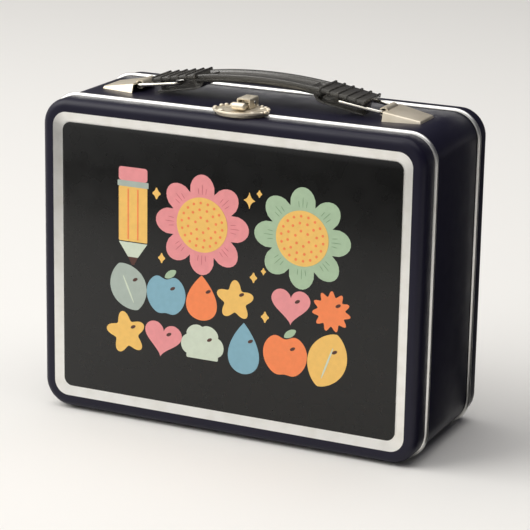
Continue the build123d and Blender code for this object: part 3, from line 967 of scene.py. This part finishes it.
    def bail(self, side: int, name: str, body: str) -> None:
        """Build one wire bail by pulling and bending a round wire.

        Args:
            side: 1 on the right, -1 on the left.
            name: the frame's node.
            body: the body it rides on.
        """
        part = Part()
        pivot = Vector((self.pivot_x, 0, self.top + self.pivot_rise))
        reach = (pivot - self.tip).length
        end = bmesh.ops.create_circle(part.bm, cap_ends=True, segments=16, radius=self.wire)["verts"]
        part.move(end, Matrix.Translation((0, -self.tip_y, 0)) @ UPRIGHT)
        face = part.bm.faces[:][0]
        way = Vector((0, -1, 0))
        runs = (
            (self.leg_y - self.tip_y - self.bend, Vector((1, 0, 0))),
            (reach - 2 * self.bend, Vector((0, 1, 0))),
            (2 * (self.leg_y - self.bend), Vector((-1, 0, 0))),
            (reach - 2 * self.bend, Vector((0, -1, 0))),
            (self.leg_y - self.tip_y - self.bend, None),
        )
        spot = Vector((0, -self.tip_y, 0))
        for length, turn_to in runs:
            face = self.pull(part, face, way * length)
            spot += way * length
            if turn_to is not None:
                hub = spot + turn_to * self.bend
                face = self.bend_wire(part, face, hub, way.cross(turn_to))
                spot = hub + way * self.bend
                way = turn_to
        whole = list(part.bm.verts)
        fall = self.tip.z - pivot.z
        lean = Matrix.Rotation(asin(fall / reach), 4, "Y")
        part.move(whole, Matrix.Translation(self.tip) @ lean)
        if side < 0:
            part.move(whole, MIRROR)
        install(part.mesh(f"{name}_piece"), Fitting(body, "wire_steel", [WIRE], [name]))

    @staticmethod
    def pull(part: Part, face: Face, way: Vector) -> Face:
        """Pull the wire's end face straight and return the new end."""
        made = bmesh.ops.extrude_discrete_faces(part.bm, faces=[face])["faces"]
        bmesh.ops.translate(part.bm, vec=way, verts=list(made[0].verts))
        return made[0]

    @staticmethod
    def bend_wire(part: Part, face: Face, hub: Vector, axis: Vector) -> Face:
        """Bend the wire's end face a quarter turn about a hub and return the new end."""
        made = bmesh.ops.spin(part.bm, geom=[face], cent=hub, axis=axis, angle=pi / 2, steps=7)["geom_last"]
        ends = [g for g in made if isinstance(g, Face)]
        bmesh.ops.delete(part.bm, geom=[face], context="FACES_ONLY")
        return ends[0]

    def end_frame(self) -> Matrix:
        """Axes of the right end: u outwards along the slant, w square to it, at the wire's tip."""
        return Matrix.Translation(self.tip) @ Matrix.Rotation(radians(self.end_slant), 4, "Y")

    def end_block(self, part: Part, u: tuple, half: float, w: tuple, soft: float) -> None:
        """Add a block of the right end, by its spans along u and w, half-width and rounding in mm."""
        low, high = (u[0] * MM, -half * MM, w[0] * MM), (u[1] * MM, half * MM, w[1] * MM)
        part.move(part.block(low, high, soft * MM), self.end_frame())

    def grip_ends(self) -> Part:
        """Both ribbed ends: cap, ribs, web with the wire's slot, lower lip and the sweep to the middle."""
        part = Part()
        self.end_block(part, self.cap, self.cap_half, self.cap_w, self.soft)
        start, length, stand = self.rib
        step = (self.cap[1] - self.cap[0] - start - length) / (self.ribs - 1)
        for rib in range(self.ribs):
            u = self.cap[0] + start + rib * step
            self.end_block(part, (u, u + length), self.cap_half + stand, self.rib_w, self.rib_soft)
        for u, half, w, soft in self.web:
            self.end_block(part, u, half, w, soft)
        before = set(part.bm.verts)
        face = part.outline([(u * MM, -self.sweep_half, w * MM) for u, w in self.sweep])
        first, final = self.sweep_bends
        part.round_corners([v for v in face.verts if first < v.co.x < final], self.sweep_soft, 5)
        last = [f for f in part.bm.faces if f.is_valid and all(v not in before for v in f.verts)]
        part.thicken(last[0], (0, 2 * self.sweep_half, 0))
        part.move(part.new_verts(before), self.end_frame())
        right = list(part.bm.verts) + list(part.bm.edges) + list(part.bm.faces)
        copy = bmesh.ops.duplicate(part.bm, geom=right)["geom"]
        part.move(verts_of(copy), MIRROR)
        return part

    def grip_middle(self) -> Part:
        """The arched middle: two ridges with a shallow dish between them."""
        part = Part()
        slant = radians(self.slant)
        arc = self.arch_half / sin(slant)
        end_top = self.tip.z + (self.tip.x - self.arch_half) * sin(slant) + self.cap_w[1] * MM * cos(slant)
        crown = end_top + arc * (1 - cos(slant))
        half, floor = self.width / 2, self.width / 2 - self.ridge - self.dish_wall
        right = ((half, -self.thick), (half, 0), (half - self.ridge, 0), (floor, -self.dish))
        outline = [*right, *((-y, z) for y, z in reversed(right))]
        face = part.outline([(0, y, crown + z) for y, z in outline])
        part.round_corners([v for v in face.verts if v.co.z < crown - 2 * self.dish], self.under_soft)
        tops = [v for v in part.bm.verts if v.co.z > crown - 1.1 * self.dish]
        part.round_corners(tops, self.ridge_soft, 3)
        hub = Vector((0, 0, crown - arc))
        swing = radians(self.slant + 0.3)
        whole = list(part.bm.verts)
        bmesh.ops.rotate(part.bm, cent=hub, matrix=Matrix.Rotation(-swing, 3, "Y"), verts=whole)
        section = part.bm.faces[:]
        bmesh.ops.spin(part.bm, geom=section, cent=hub, axis=(0, 1, 0), angle=2 * swing, steps=36)
        return part

    def build(self) -> None:
        """Build the brackets, the bails and the grip."""
        for side, word, body in ((-1, "left", "left_wire"), (1, "right", "right_wire")):
            self.bracket(side, f"handle_bracket_{word}")
            self.bail(side, f"bail_{word}", body)
        middle = self.grip_middle().mesh("grip_piece")
        ends = self.grip_ends().mesh("grip_ends")
        install(united(middle, ends), Fitting("handle", "smoke_plastic", [SMOKE], ["grip"], 40.0))


# ---- latch
@dataclass
class Latch:
    """The snap latch: an oval plate in two halves, a channel, a lever with a rolled nose, and a spring."""

    oval: tuple = (15.6 * MM, 13.0 * MM)
    segments: int = 96
    pearl: float = 1.2 * MM
    pearls: int = 26
    pearl_inset: float = 1.2 * MM
    stand: float = 2.2  # height of the plates' upper face over the case top, in millimetres
    keeper_gap: float = 0.35 * MM  # how far the keeper ends in front of the seam
    base_gap: float = 0.1 * MM  # how far the base starts behind it
    middle_x: float = field(default_factory=lambda: sum(corner.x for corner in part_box("latch_housing")) / 2)
    face: float = field(default_factory=lambda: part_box("latch_housing")[0].z)
    seam: float = field(default_factory=lambda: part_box("body_band")[0].y)

    def middle_y(self) -> float:
        """Depth of the oval's centre, over the lid's bead."""
        low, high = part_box("lid_rim_bead")
        return (low.y + high.y) / 2

    def ring(self, part: Part, grow: float, z: float) -> list:
        """Add one oval loop.

        Args:
            part: the part that gets it.
            grow: how much wider it is than the plate.
            z: its height.

        Returns:
            Its edges.
        """
        before = set(part.bm.edges)
        verts = bmesh.ops.create_circle(part.bm, segments=self.segments, radius=1.0)["verts"]
        scale = Matrix.Diagonal((self.oval[0] + grow, self.oval[1] + grow, 1.0, 1.0))
        part.move(verts, Matrix.Translation((self.middle_x, self.middle_y(), z)) @ scale)
        return [e for e in part.bm.edges if e not in before]

    def plate(self, profile: Sequence[tuple]) -> Part:
        """Build an oval plate from its section.

        Args:
            profile: growth and height of each loop, from under the plate over its edge to its top.

        Returns:
            The closed plate.
        """
        part = Part()
        loops = [self.ring(part, grow * MM, self.face + rise * MM) for grow, rise in profile]
        for one, other in zip(loops, loops[1:]):
            bmesh.ops.bridge_loops(part.bm, edges=one + other)
        part.fill_holes()
        return part

    def row_of_pearls(self, front: float, rear: float) -> Mesh:
        """Pearls along the oval between two depths.

        Args:
            front: no pearl reaches in front of this.
            rear: no pearl reaches behind this.

        Returns:
            A mesh of closed pearls.
        """
        part = Part()
        wide, deep = (axis - self.pearl_inset for axis in self.oval)
        flat = Matrix.Diagonal((self.pearl, self.pearl, 0.8 * MM, 1.0))
        for number in range(self.pearls):
            angle = 2 * pi * (number + 0.5) / self.pearls
            x, y = self.middle_x + wide * cos(angle), self.middle_y() + deep * sin(angle)
            if y - self.pearl < front or y + self.pearl > rear:
                continue
            ball = bmesh.ops.create_uvsphere(part.bm, u_segments=16, v_segments=10, radius=1.0)["verts"]
            part.move(ball, Matrix.Translation((x, y, self.face + 0.15 * MM)) @ flat)
        return part.mesh("pearls")

    def keeper(self) -> None:
        """Build the lid's half: a dish with a smooth lip in front and pearls at its sides."""
        profile = (
            (-2.0, -0.75), (-0.35, -0.75), (0, -0.4), (0, 0.35), (-0.2, 0.68), (-0.6, 0.8),
            (-1.0, 0.72), (-1.5, 0.35), (-2.2, 0.02), (-3.4, -0.18), (-6.0, -0.28),
        )
        part = self.plate(profile)
        middle = self.middle_y()
        for vert in part.bm.verts:
            fade = min(1.0, max(0.0, (middle - 3.4 * MM - vert.co.y) / (2.6 * MM)))
            if vert.co.z > self.face:
                vert.co.z = self.face + (vert.co.z - self.face) * fade
        part.split((0, self.seam - self.keeper_gap, 0), (0, 1, 0))
        foot = self.plate(((-2.0, -self.stand), (-2.0, -0.7)))
        foot.split((0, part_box("lid_rim_bead")[0].y - 0.2 * MM, 0), (0, 1, 0))
        pearls = self.row_of_pearls(middle - 6.4 * MM, self.seam - 0.4 * MM)
        mesh = united(united(part.mesh("keeper_plate_piece"), foot.mesh("foot")), pearls)
        install(mesh, Fitting("lid", "nickel", [NICKEL], ["keeper_plate"], 40.0))

    def base(self) -> None:
        """Build the case's half: a flat plate edged with pearls."""
        profile = (
            (-3.0, -self.stand), (-3.0, -0.75), (-1.0, -0.75), (-0.7, -0.45), (-0.7, -0.2),
            (-1.2, 0.0), (-3.0, 0.0), (-3.4, -0.15), (-8.0, -0.15),
        )
        part = self.plate(profile)
        part.split((0, self.seam + self.base_gap, 0), (0, -1, 0))
        mesh = united(part.mesh("latch_base_piece"), self.row_of_pearls(self.seam + self.base_gap, 0.0))
        install(mesh, Fitting("case", "nickel", [NICKEL], ["latch_base"], 40.0))

    def build(self) -> None:
        """Build every piece of the latch."""
        self.keeper()
        self.base()
        for node, body, slot, finish, edge, steps in (
            ("latch_housing", "case", "nickel", NICKEL, 0.25, 3),
            ("latch_lever", "lever", "nickel", NICKEL, 0.2, 3),
            ("latch_pin", "case", "nickel", WIRE, 0.1, 2),
            ("latch_spring", "case", "wire_steel", WIRE, 0.03, 2),
            ("latch_rivets", "case", "nickel", NICKEL, 0.12, 2),
            ("keeper_rivets", "lid", "nickel", NICKEL, 0.12, 2),
        ):
            refined(node, edge, Fitting(body, slot, [finish]), steps)


# ---- printed plate
class Shape(Enum):
    """Outlines of the printed pictures."""

    DISC = "disc"
    DAISY = "daisy"
    SPARKLE = "sparkle"
    STAR = "star"
    HEART = "heart"
    DROP = "drop"
    LEAF = "leaf"
    CLOUD = "cloud"
    APPLE = "apple"
    SUN = "sun"
    PETAL = "petal"


# how far each star-like outline reaches from its middle, t being how far round
REACH: dict[Shape, Callable[[float], float]] = {
    Shape.DAISY: lambda t: 0.67 + 0.33 * abs(cos(4 * t)) ** 0.7,
    Shape.SPARKLE: lambda t: (abs(sin(t)) ** 0.55 + abs(cos(t)) ** 0.55) ** -1.82,
    Shape.STAR: lambda t: 0.8 + 0.2 * cos(5 * t),
    Shape.CLOUD: lambda t: 0.82 + 0.18 * sqrt(abs(sin(3 * t))),
    Shape.SUN: lambda t: 0.86 + 0.14 * cos(11 * t),
}

# how the other outlines bend the circle's point x, z
BENT: dict[Shape, Callable[[float, float, float], tuple]] = {
    Shape.HEART: lambda x, z, t: (x**3, (13 * z - 5 * cos(2 * t) - 2 * cos(3 * t) - cos(4 * t)) / 16 + 0.12),
    Shape.DROP: lambda x, z, t: (x * abs(sin(t / 2)) ** 0.9, z),
    Shape.LEAF: lambda x, z, t: (0.9 * x * abs(x) ** 0.4, z),
    Shape.CLOUD: lambda x, z, t: (x, max(z, -0.62)),
    Shape.APPLE: lambda x, z, t: (
        x * (1 + 0.06 * z),
        z * (0.94 - (0.26 if z > 0 else 0.14) * exp(-((x / 0.34) ** 2))),
    ),
    Shape.PETAL: lambda x, z, t: (0.3 * x, z),
}

INKS = {
    name: Ink(f"ink_{name}", paint(*colour))
    for name, colour in {
        "sunny": (241, 193, 104),
        "rose": (232, 148, 150),
        "rose_line": (205, 112, 122),
        "sage": (168, 192, 160),
        "sage_line": (128, 158, 124),
        "blue": (130, 174, 190),
        "orange": (246, 136, 82),
        "mint": (206, 216, 196),
        "slate": (170, 182, 172),
        "brown": (84, 52, 44),
    }.items()
}


def trace(shape: Shape, t: float) -> tuple[float, float]:
    """A point on an outline, which fits in a square of side 2.

    Args:
        shape: which outline.
        t: how far round, from 0 at the top to two pi, clockwise.

    Returns:
        Its place across and up.
    """
    reach = REACH[shape](t) if shape in REACH else 1.0
    x, z = sin(t) * reach, cos(t) * reach
    return BENT[shape](x, z, t) if shape in BENT else (x, z)


@dataclass(frozen=True)
class Print:
    """One printed picture: outline, middle, size, turn, ink and how many inks lie under it."""

    shape: Shape
    x: float
    z: float
    width: float
    height: float
    ink: str
    turn: float = 0.0
    layer: int = 0


@dataclass
class PanelArt:
    """The black front plate and the pictures printed on it, in millimetres from the plate's middle."""

    film: float = 0.05 * MM
    outline_steps: int = 88
    plate_edge: float = 0.12 * MM
    corner: float = 4.8 * MM
    daisies: tuple = ((-14.0, 27.2, "rose"), (43.0, 27.4, "sage"))
    daisy_size: float = 54.0
    disc_size: float = 29.4
    sparkles: tuple = (
        (-40.7, 40.9, 5.2), (-37.5, 6.3, 4.6), (13.0, 43.7, 5.6), (18.6, 47.8, 3.4),
        (16.0, 2.9, 4.6), (21.6, 7.0, 3.2), (22.9, -17.4, 5.0),
    )
    blocks: tuple = (
        (Shape.LEAF, -57.3, -12.1, 24.0, 27.0, "slate", 24.0),
        (Shape.APPLE, -34.8, -13.6, 23.0, 25.0, "blue", 0.0),
        (Shape.DROP, -13.9, -12.3, 23.0, 24.6, "orange", 0.0),
        (Shape.STAR, 5.6, -10.8, 22.0, 22.0, "sunny", 0.0),
        (Shape.HEART, 37.4, -9.8, 22.0, 21.0, "rose", 0.0),
        (Shape.SUN, 60.2, -9.0, 21.6, 22.0, "orange", 0.0),
        (Shape.STAR, -58.5, -38.0, 24.0, 24.0, "sunny", 12.0),
        (Shape.HEART, -36.7, -38.6, 22.0, 21.0, "rose", -8.0),
        (Shape.CLOUD, -13.2, -38.5, 25.0, 24.0, "mint", 0.0),
        (Shape.DROP, 10.9, -36.3, 23.0, 28.0, "blue", 0.0),
        (Shape.APPLE, 34.7, -36.5, 25.0, 26.0, "orange", 0.0),
        (Shape.LEAF, 58.5, -35.5, 24.0, 31.0, "sunny", -20.0),
    )

    def __post_init__(self) -> None:
        """Find the middle of the plate's front."""
        low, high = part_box("front_plate")
        self.middle = Vector(((low.x + high.x) / 2, low.y, (low.z + high.z) / 2))
        self.parts: dict[str, Part] = {}

    def stamp(self, made: Print) -> None:
        """Add a picture to the film of its ink.

        Args:
            made: the picture.
        """
        part = self.parts.setdefault(made.ink, Part())
        steps = self.outline_steps if made.width > 8 else 24
        ring = bmesh.ops.create_circle(part.bm, cap_ends=True, segments=steps, radius=1.0)["verts"]
        tilt = Matrix.Rotation(radians(made.turn), 2)
        for number, vert in enumerate(ring):
            across, up = trace(made.shape, 2 * pi * (number + 0.5) / steps)
            spot = tilt @ Vector((across * made.width / 2, up * made.height / 2))
            vert.co = self.middle + Vector((made.x + spot.x, 0, made.z + spot.y)) * MM
            vert.co.y = self.middle.y + SINK
        part.thicken(ring[0].link_faces[0], (0, -self.film * (made.layer + 1), 0))

    def daisy(self, x: float, z: float, ink: str) -> None:
        """Print one daisy: petals with darker lines, a disc and its seeds.

        Args:
            x: its middle across.
            z: its middle up.
            ink: the petals' ink.
        """
        size, disc = self.daisy_size, self.disc_size
        self.stamp(Print(Shape.DAISY, x, z, size, size, ink))
        for petal in range(8):
            for lean in (-7.0, 0.0, 7.0):
                angle = radians(45 * petal + lean)
                reach, long = (disc / 2 + 3.4, 3.4) if lean else (disc / 2 + 4.2, 5.6)
                spot = (x + reach * sin(angle), z + reach * cos(angle))
                self.stamp(Print(Shape.PETAL, *spot, 1.3, long, f"{ink}_line", -45 * petal - lean, 1))
        self.stamp(Print(Shape.DISC, x, z, disc, disc, "sunny", 0.0, 2))
        for ring, count in ((4.0, 6), (8.2, 12), (11.8, 18)):
            for seed in range(count):
                angle = 2 * pi * seed / count + ring
                spot = (x + ring * sin(angle), z + ring * cos(angle))
                self.stamp(Print(Shape.DISC, *spot, 1.5, 1.5, "orange", 0.0, 3))

    def pencil(self, x: float, z: float, tall: float, wide: float) -> None:
        """Print a standing pencil.

        Args:
            x: its middle across.
            z: its middle up.
            tall: its height.
            wide: its width.
        """
        # ink, head and foot as shares of the height, half-widths there as shares of the width, rounding
        patches = (
            ("rose", 0.5, 0.36, 0.5, 0.5, 1.6),
            ("slate", 0.36, 0.3, 0.54, 0.54, 0.4),
            ("sunny", 0.3, -0.26, 0.5, 0.5, 0.6),
            ("mint", -0.27, -0.42, 0.5, 0.175, 0.2),
            ("brown", -0.42, -0.5, 0.175, 0.04, 0.2),
        )
        for ink, head, foot, above, below, soft in patches:
            ends = ((-below, foot), (below, foot), (above, head), (-above, head))
            self.patch(ink, [(x + a * wide, z + b * tall) for a, b in ends], soft)
        for lane in (-0.17, 0.17):
            ends = ((-0.4, -0.24), (0.4, -0.24), (0.4, 0.28), (-0.4, 0.28))
            self.patch("orange", [(x + lane * wide + a, z + b * tall) for a, b in ends], 0.3, 1)

    def patch(self, ink: str, corners: Sequence[tuple], soft: float, layer: int = 0) -> None:
        """Print a straight-sided patch.

        Args:
            ink: its ink.
            corners: its corners in millimetres.
            soft: radius of its corners.
            layer: how many inks lie under it.
        """
        part = self.parts.setdefault(ink, Part())
        before = set(part.bm.verts)
        back = self.middle.y + SINK
        face = part.outline([(self.middle.x + a * MM, back, self.middle.z + b * MM) for a, b in corners])
        part.round_corners(list(face.verts), soft * MM, 4)
        part.thicken(part.new_verts(before)[0].link_faces[0], (0, -self.film * (layer + 1), 0))

    def marks(self) -> None:
        """Print the small details over the pictures: dark glints, leaves on the apples and veins."""
        for shape, x, z, width, height, ink, turn in self.blocks:
            self.stamp(Print(Shape.DISC, x + width * 0.17, z + height * 0.16, 1.7, 3.2, "brown", -60.0, 1))
            if shape is Shape.APPLE:
                self.stamp(Print(Shape.LEAF, x + 2.6, z + height * 0.47, 4.2, 8.0, "sage", -55.0, 1))
            if shape is Shape.LEAF:
                self.stamp(Print(Shape.PETAL, x, z - height * 0.05, 3.4, height * 0.6, "mint", turn, 1))

    def plate(self) -> None:
        """Build the lacquered plate with a softened edge."""
        part = Part()
        low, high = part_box("front_plate")
        corners = ((low.x, low.z), (high.x, low.z), (high.x, high.z), (low.x, high.z))
        face = part.outline([(x, high.y, z) for x, z in corners])
        part.round_corners(list(face.verts), self.corner, 10)
        front = part.thicken(part.bm.faces[:][0], (0, low.y - high.y, 0))
        rim = [e for e in part.bm.edges if all(v in set(front) for v in e.verts)]
        part.round_edges(rim, self.plate_edge, 2)
        install(part.mesh("printed_plate"), Fitting("lid", "black_lacquer", [BLACK], ["front_plate"]))

    def build(self) -> None:
        """Build the plate and every film of ink."""
        self.plate()
        for x, z, ink in self.daisies:
            self.daisy(x, z, ink)
        self.pencil(-54.6, 26.7, 53.0, 17.0)
        for x, z, size in self.sparkles:
            self.stamp(Print(Shape.SPARKLE, x, z, size * 1.5, size * 2.0, "sunny"))
        for shape, x, z, width, height, ink, turn in self.blocks:
            self.stamp(Print(shape, x, z, width, height, ink, turn))
        self.marks()
        for ink, part in self.parts.items():
            install(part.mesh(f"print_{ink}"), Fitting("lid", "black_lacquer", [INKS[ink]], (), 30.0))


# ---- studio
@dataclass
class Studio:
    """A pale floor, soft lights and the camera."""

    floor_half: float = 4.0
    yaw: float = 24.81
    pitch: float = 15.965
    roll: float = 1.018
    camera_at: tuple = (0.4949, -1.0663, 0.4197)
    lens: float = 154.6
    # the room's dark and light ends, each with its place along the way to the light
    room: tuple = ((0.0, (0.05, 0.05, 0.06, 1.0)), (0.9, (0.85, 0.845, 0.83, 1.0)))
    room_way: tuple = (-0.85, -0.42, 0.32)
    # place, width and height, watts, colour of each lamp
    lamps: tuple = (
        ("key_softbox", (-1.5, -0.9, 1.7), (1.9, 1.9), 40.0, (1.0, 0.99, 0.97)),
        ("top_softbox", (0.2, 0.15, 2.2), (2.6, 2.0), 25.0, (1.0, 0.99, 0.985)),
    )
    aim: Vector = field(default_factory=lambda: Vector((0, 0, 0.08)))
    # lowest and highest corner of each dark card, which only reflections see; the cards paint shade into the
    # reflections of the floor
    shade_card_corners: tuple = (
        ((-1.6, -1.5, 0.001), (1.2, -0.42, 0.004)),
        ((0.118, -0.06, 0.001), (1.6, 1.8, 0.004)),
    )

    def floor(self) -> None:
        """Lay the floor."""
        part = Part()
        bmesh.ops.create_grid(part.bm, x_segments=1, y_segments=1, size=self.floor_half)
        self.give_way(self.staged(part.mesh("floor", recalculate=False), FLOOR))

    @staticmethod
    def staged(mesh: Mesh, finish: Paper) -> Object:
        """Put a mesh into the studio, with its finish."""
        mesh.materials.append(dressed(finish))
        piece = placed(mesh.name, mesh)
        return piece

    @staticmethod
    def give_way(floor: Object) -> None:
        """Let the floor drop to the lid's top edge, when the lid is opened past the case's foot.

        Args:
            floor: the floor, which otherwise stays under the case.
        """
        lid = bpy.data.objects["lid_shell"]
        top = max(v.co.z for v in lid.data.vertices)
        edge = lid.vertex_groups.new(name="top_edge")
        edge.add([v.index for v in lid.data.vertices if v.co.z > top - 0.1 * MM], 1.0, "REPLACE")
        follow = floor.constraints.new("COPY_LOCATION")
        follow.target, follow.subtarget = lid, edge.name
        follow.use_x = follow.use_y = False
        stop = floor.constraints.new("LIMIT_LOCATION")
        stop.use_max_z, stop.max_z = True, 0.0

    def reflection_shade_cards(self) -> None:
        """Lay dark cards on the floor that only reflections see: painted shade in the reflections."""
        part = Part()
        for low, high in self.shade_card_corners:
            part.block(low, high)
        shade_card = self.staged(part.mesh("reflection_shade_cards"), REFLECTION_SHADE)
        shade_card.visible_camera = shade_card.visible_diffuse = shade_card.visible_shadow = False
        shade_card.visible_transmission = False

    def light(self) -> None:
        """Hang the softboxes and set the room's own light."""
        for name, place, size, power, colour in self.lamps:
            lamp = bpy.data.lights.new(name, "AREA")
            lamp.shape, lamp.size, lamp.size_y = "RECTANGLE", size[0], size[1]
            lamp.energy, lamp.color = power, colour
            box = placed(name, lamp)
            box.location = place
            box.rotation_euler = (self.aim - Vector(place)).to_track_quat("-Z", "Y").to_euler()
        world = bpy.data.worlds.new("room")
        bpy.context.scene.world = world
        world.use_nodes = True
        tree = world.node_tree
        way = tree.nodes.new("ShaderNodeTexCoord").outputs["Generated"]
        share = tree.nodes.new("ShaderNodeVectorMath")
        share.operation = "DOT_PRODUCT"
        share.inputs[1].default_value = self.room_way
        tree.links.new(way, share.inputs[0])
        ramp = tree.nodes.new("ShaderNodeValToRGB")
        for stop, (edge, colour) in zip(ramp.color_ramp.elements, self.room):
            stop.position, stop.color = edge, colour
        tree.links.new(share.outputs["Value"], ramp.inputs["Fac"])
        tree.links.new(ramp.outputs["Color"], tree.nodes["Background"].inputs["Color"])

    def camera(self) -> None:
        """Place the camera."""
        data = bpy.data.cameras.new("camera")
        data.lens, data.sensor_width, data.clip_start, data.clip_end = self.lens, 36.0, 0.05, 50.0
        pose = Matrix.Translation(self.camera_at)
        for angle, axis in ((self.yaw, "Z"), (90 - self.pitch, "X"), (self.roll, "Z")):
            pose = pose @ Matrix.Rotation(radians(angle), 4, axis)
        camera = placed("camera", data)
        camera.matrix_world = pose
        bpy.context.scene.camera = camera

    def build(self) -> None:
        """Set the whole studio up."""
        self.floor()
        self.reflection_shade_cards()
        self.light()
        self.camera()
        bpy.context.scene.view_settings.view_transform = "Standard"


def main() -> None:
    """Build the sub-assemblies in order."""
    logging.basicConfig(level=logging.INFO, format="%(name)s %(message)s")
    for assembly in (Shells(), Hinges(), Handle(), Latch(), PanelArt(), Studio()):
        LOG.info("building %s", type(assembly).__name__)
        assembly.build()


if __name__ == "__main__":
    main()
